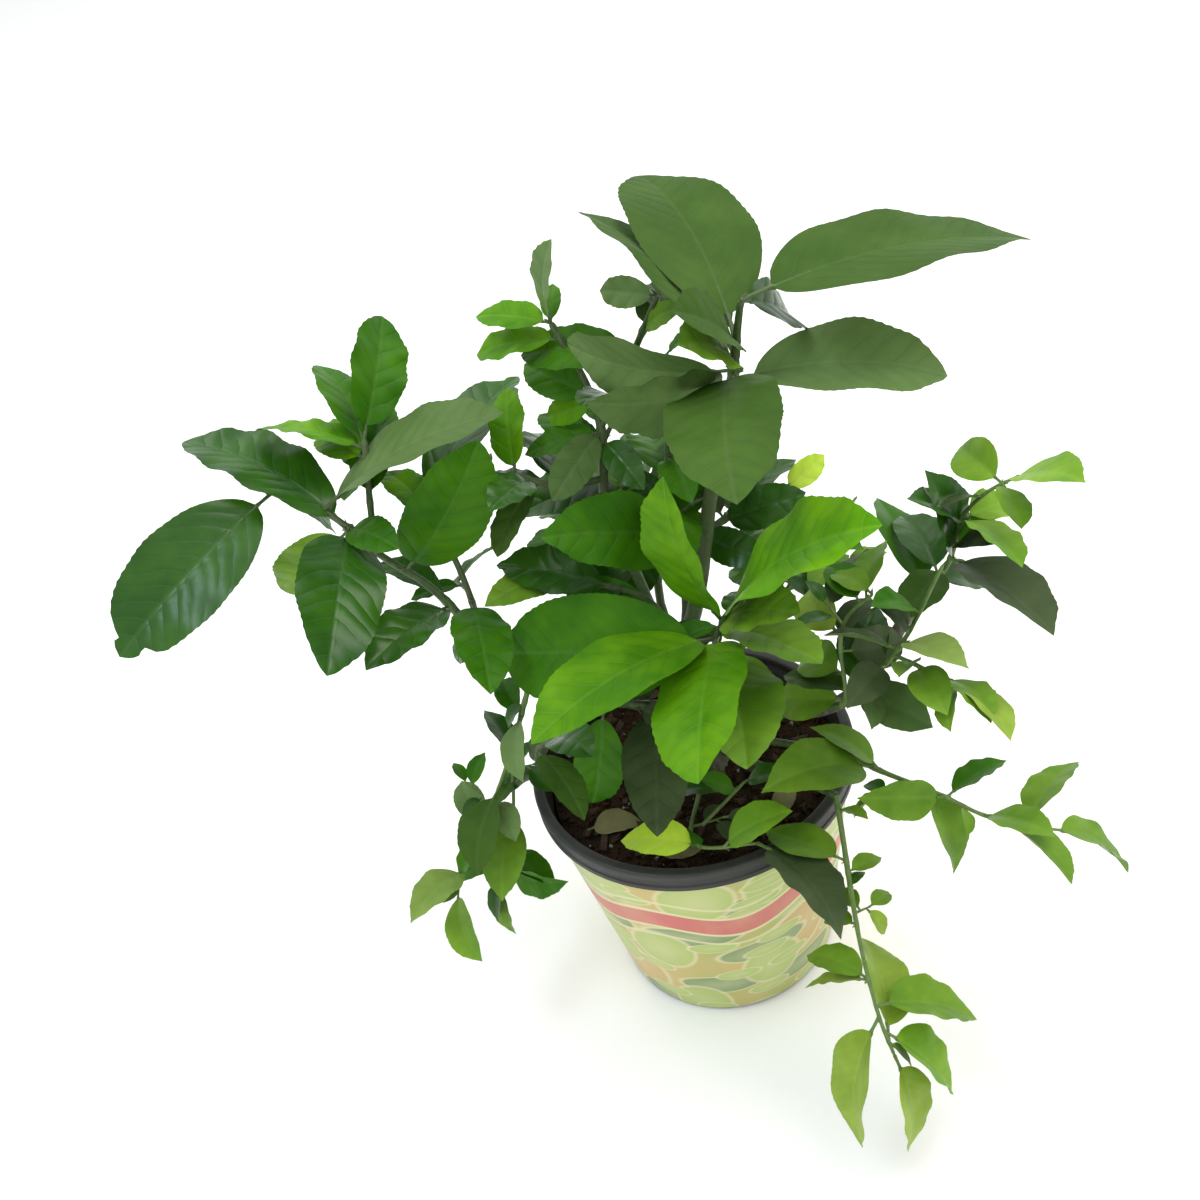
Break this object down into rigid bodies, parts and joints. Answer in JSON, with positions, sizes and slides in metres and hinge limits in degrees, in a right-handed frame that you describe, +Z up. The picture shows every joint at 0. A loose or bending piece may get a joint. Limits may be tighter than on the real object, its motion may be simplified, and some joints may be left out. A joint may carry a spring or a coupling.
{
  "type": "potted multi-grafted citrus tree",
  "caption": "Young multi-grafted citrus in a black nursery pot with a printed sleeve; lemon and lime shoots arch up, out and down over the rim",
  "frame": {"origin": "centre of the pot's flat underside", "axes": "+Z up, -Y towards the side that the picture shows, +X to the right of that view"},
  "size_m": [0.4674, 0.329, 0.4401],
  "materials": {
    "pot_plastic": "moulded black plastic, slightly glossy on the lip",
    "potting_mix": "damp dark bark mix with chips",
    "sleeve_print": "coated sleeve printed in faded greens, lime, amber and cream",
    "trunk_bark": "young grey-brown bark with green showing through",
    "green_wood": "smooth green shoots with small thorns",
    "lemon_leaf": "glossy leathery serrated leaves",
    "lime_leaf": "small glossy leaves"
  },
  "bodies": {
    "root": {"pot": "pot_plastic", "potting_soil": "potting_mix", "pot_sleeve": "sleeve_print", "trunk": "trunk_bark", "top_bough": "green_wood", "left_bough": "green_wood", "back_left_bough": "green_wood", "centre_bough": "green_wood", "inner_back_bough": "green_wood", "right_bough": "trunk_bark", "front_lime_bough": "green_wood", "drooping_right_bough": "green_wood", "drooping_front_bough": "green_wood", "drooping_left_bough": "green_wood", "back_bough": "green_wood", "back_right_bough": "green_wood", "left_lemon_foliage": "lemon_leaf", "top_lemon_foliage": "lemon_leaf", "centre_lemon_foliage": "lemon_leaf", "back_left_foliage": "lemon_leaf", "inner_back_foliage": "lemon_leaf", "inner_left_foliage": "lemon_leaf", "back_lemon_foliage": "lemon_leaf", "right_lime_foliage": "lime_leaf", "front_lime_foliage": "lime_leaf", "drooping_right_foliage": "lime_leaf", "drooping_front_foliage": "lime_leaf", "drooping_left_foliage": "lime_leaf", "soil_shoot_foliage": "lime_leaf", "back_right_foliage": "lime_leaf"}
  },
  "joints": []
}
